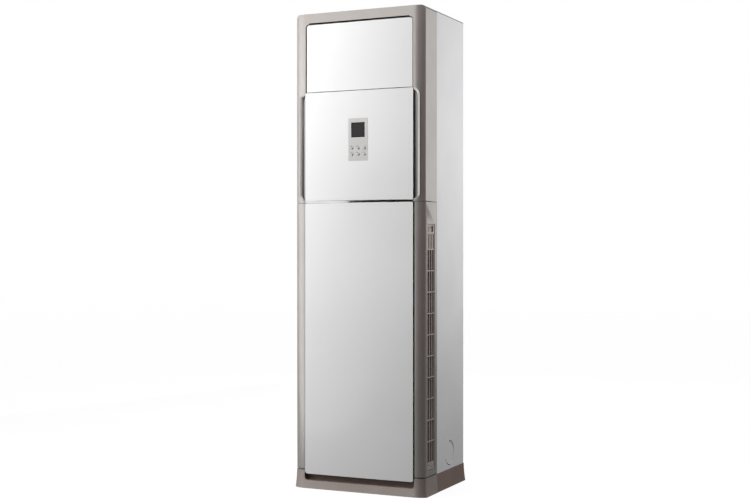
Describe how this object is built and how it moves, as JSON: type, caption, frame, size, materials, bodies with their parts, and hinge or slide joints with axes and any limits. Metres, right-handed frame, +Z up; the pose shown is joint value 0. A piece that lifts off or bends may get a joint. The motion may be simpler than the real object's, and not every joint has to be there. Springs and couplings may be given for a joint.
{
  "type": "floor standing air conditioner",
  "caption": "Tall free-standing indoor air conditioner with a sliding outlet door, tilting louvres and vanes, a side-fed centrifugal fan and a control bezel.",
  "frame": {"origin": "on the floor, under the middle of the base", "axes": "+X right, +Y to the back, +Z up"},
  "size_m": [0.55, 0.42, 1.825],
  "materials": {
    "taupe_moulding": "satin metallic paint",
    "white_steel": "powder coat",
    "white_panel": "satin pearl white",
    "silver_moulding": "satin silver",
    "dark_glass": "gloss",
    "galvanised_steel": "zinc coated",
    "aluminium_fin": "mill",
    "copper": "drawn copper",
    "dark_mesh": "woven mesh",
    "circuit": "lacquered board",
    "motor_steel": "satin",
    "inner_moulding": "moulded"
  },
  "bodies": {
    "cabinet": {"base_pan": "galvanised_steel", "base_skirt": "taupe_moulding", "control_box": "galvanised_steel", "control_lid": "galvanised_steel", "control_parts": "circuit", "copper_circuit": "copper", "display_bezel": "silver_moulding", "display_board": "circuit", "display_panel": "white_panel", "display_window": "dark_glass", "door_motor": "motor_steel", "door_rail_left": "inner_moulding", "door_rail_right": "inner_moulding", "drain_pan": "inner_moulding", "evaporator_ends": "aluminium_fin", "evaporator_fins": "aluminium_fin", "fan_motor": "galvanised_steel", "fan_volute": "inner_moulding", "louvre_motor": "motor_steel", "lower_fascia": "taupe_moulding", "motor_bracket": "galvanised_steel", "outlet_frame": "inner_moulding", "partition_plate": "galvanised_steel", "rear_panel": "white_steel", "service_panel": "white_panel", "side_board_left": "white_steel", "side_board_right": "white_steel", "top_cap": "taupe_moulding", "top_cover": "white_steel", "upper_fascia": "taupe_moulding", "vane_motor": "motor_steel", "volute_front": "inner_moulding"},
    "door": {"outlet_door": "white_panel", "door_rack_left": "inner_moulding", "door_rack_right": "inner_moulding"},
    "pinions": {"pinion_shaft": "inner_moulding"},
    "fan": {"fan_impeller": "inner_moulding", "fan_shaft": "galvanised_steel"},
    "grille_left": {"intake_grille_left": "taupe_moulding", "intake_filter_left": "dark_mesh"},
    "grille_right": {"intake_grille_right": "taupe_moulding", "intake_filter_right": "dark_mesh"},
    "louvre_1": {"louvre_1": "inner_moulding"},
    "louvre_2": {"louvre_2": "inner_moulding"},
    "louvre_3": {"louvre_3": "inner_moulding"},
    "louvre_4": {"louvre_4": "inner_moulding"},
    "louvre_5": {"louvre_5": "inner_moulding"},
    "louvre_link": {"louvre_link": "inner_moulding"},
    "vane_1": {"vane_1": "inner_moulding"},
    "vane_2": {"vane_2": "inner_moulding"},
    "vane_3": {"vane_3": "inner_moulding"},
    "vane_4": {"vane_4": "inner_moulding"},
    "vane_5": {"vane_5": "inner_moulding"},
    "vane_link": {"vane_link": "inner_moulding"},
    "button_1": {"button_1": "silver_moulding"},
    "button_2": {"button_2": "silver_moulding"},
    "button_3": {"button_3": "silver_moulding"},
    "button_4": {"button_4": "silver_moulding"},
    "button_5": {"button_5": "silver_moulding"},
    "button_6": {"button_6": "silver_moulding"}
  },
  "joints": [
    {"name": "door_slide", "type": "slide", "parent": "cabinet", "child": "door", "axis": [0, 0.061, -0.9981], "range_m": [0, 0.262]},
    {"name": "pinion_spin", "type": "hinge", "parent": "cabinet", "child": "pinions", "pos_m": [0, -0.15527, 1.50075], "axis": [1, 0, 0], "range_deg": [0, 1250.96]},
    {"name": "louvre_1_tilt", "type": "hinge", "parent": "cabinet", "child": "louvre_1", "pos_m": [0, -0.135, 1.5596], "axis": [1, 0, 0], "range_deg": [0, 90]},
    {"name": "louvre_2_tilt", "type": "hinge", "parent": "cabinet", "child": "louvre_2", "pos_m": [0, -0.135, 1.6068], "axis": [1, 0, 0], "range_deg": [0, 90]},
    {"name": "louvre_3_tilt", "type": "hinge", "parent": "cabinet", "child": "louvre_3", "pos_m": [0, -0.135, 1.654], "axis": [1, 0, 0], "range_deg": [0, 90]},
    {"name": "louvre_4_tilt", "type": "hinge", "parent": "cabinet", "child": "louvre_4", "pos_m": [0, -0.135, 1.7012], "axis": [1, 0, 0], "range_deg": [0, 90]},
    {"name": "louvre_5_tilt", "type": "hinge", "parent": "cabinet", "child": "louvre_5", "pos_m": [0, -0.135, 1.7484], "axis": [1, 0, 0], "range_deg": [0, 90]},
    {"name": "louvre_link_turn", "type": "hinge", "parent": "louvre_1", "child": "louvre_link", "pos_m": [0, -0.1251, 1.5497], "axis": [1, 0, 0], "range_deg": [-90, 0]},
    {"name": "vane_1_swing", "type": "hinge", "parent": "cabinet", "child": "vane_1", "pos_m": [-0.14, -0.088, 1.654], "axis": [0, 0, 1], "range_deg": [-35, 35]},
    {"name": "vane_2_swing", "type": "hinge", "parent": "cabinet", "child": "vane_2", "pos_m": [-0.07, -0.088, 1.654], "axis": [0, 0, 1], "range_deg": [-35, 35]},
    {"name": "vane_3_swing", "type": "hinge", "parent": "cabinet", "child": "vane_3", "pos_m": [0, -0.088, 1.654], "axis": [0, 0, 1], "range_deg": [-35, 35]},
    {"name": "vane_4_swing", "type": "hinge", "parent": "cabinet", "child": "vane_4", "pos_m": [0.07, -0.088, 1.654], "axis": [0, 0, 1], "range_deg": [-35, 35]},
    {"name": "vane_5_swing", "type": "hinge", "parent": "cabinet", "child": "vane_5", "pos_m": [0.14, -0.088, 1.654], "axis": [0, 0, 1], "range_deg": [-35, 35]},
    {"name": "vane_link_turn", "type": "hinge", "parent": "vane_1", "child": "vane_link", "pos_m": [-0.14, -0.073, 1.538], "axis": [0, 0, 1], "range_deg": [-35, 35]},
    {"name": "fan_spin", "type": "hinge", "parent": "cabinet", "child": "fan", "pos_m": [0, 0, 0.64], "axis": [0, 1, 0], "continuous": true},
    {"name": "grille_left_tilt", "type": "hinge", "parent": "cabinet", "child": "grille_left", "pos_m": [-0.264, -0.1385, 0.103], "axis": [0, -1, 0], "range_deg": [0, 15]},
    {"name": "grille_right_tilt", "type": "hinge", "parent": "cabinet", "child": "grille_right", "pos_m": [0.264, -0.1385, 0.103], "axis": [0, 1, 0], "range_deg": [0, 15]},
    {"name": "button_1_press", "type": "slide", "parent": "cabinet", "child": "button_1", "axis": [0, 1, 0], "range_m": [0, 0.0008], "stiffness_N_per_m": 300, "springref_m": -0.0003},
    {"name": "button_2_press", "type": "slide", "parent": "cabinet", "child": "button_2", "axis": [0, 1, 0], "range_m": [0, 0.0008], "stiffness_N_per_m": 300, "springref_m": -0.0003},
    {"name": "button_3_press", "type": "slide", "parent": "cabinet", "child": "button_3", "axis": [0, 1, 0], "range_m": [0, 0.0008], "stiffness_N_per_m": 300, "springref_m": -0.0003},
    {"name": "button_4_press", "type": "slide", "parent": "cabinet", "child": "button_4", "axis": [0, 1, 0], "range_m": [0, 0.0008], "stiffness_N_per_m": 300, "springref_m": -0.0003},
    {"name": "button_5_press", "type": "slide", "parent": "cabinet", "child": "button_5", "axis": [0, 1, 0], "range_m": [0, 0.0008], "stiffness_N_per_m": 300, "springref_m": -0.0003},
    {"name": "button_6_press", "type": "slide", "parent": "cabinet", "child": "button_6", "axis": [0, 1, 0], "range_m": [0, 0.0008], "stiffness_N_per_m": 300, "springref_m": -0.0003}
  ],
  "couplings": [
    {"joint": "pinion_spin", "follows": "door_slide", "rad_per_m": 83.333},
    {"joint": "louvre_2_tilt", "follows": "louvre_1_tilt", "ratio": 1},
    {"joint": "louvre_3_tilt", "follows": "louvre_1_tilt", "ratio": 1},
    {"joint": "louvre_4_tilt", "follows": "louvre_1_tilt", "ratio": 1},
    {"joint": "louvre_5_tilt", "follows": "louvre_1_tilt", "ratio": 1},
    {"joint": "louvre_link_turn", "follows": "louvre_1_tilt", "ratio": -1},
    {"joint": "vane_2_swing", "follows": "vane_1_swing", "ratio": 1},
    {"joint": "vane_3_swing", "follows": "vane_1_swing", "ratio": 1},
    {"joint": "vane_4_swing", "follows": "vane_1_swing", "ratio": 1},
    {"joint": "vane_5_swing", "follows": "vane_1_swing", "ratio": 1},
    {"joint": "vane_link_turn", "follows": "vane_1_swing", "ratio": -1}
  ]
}
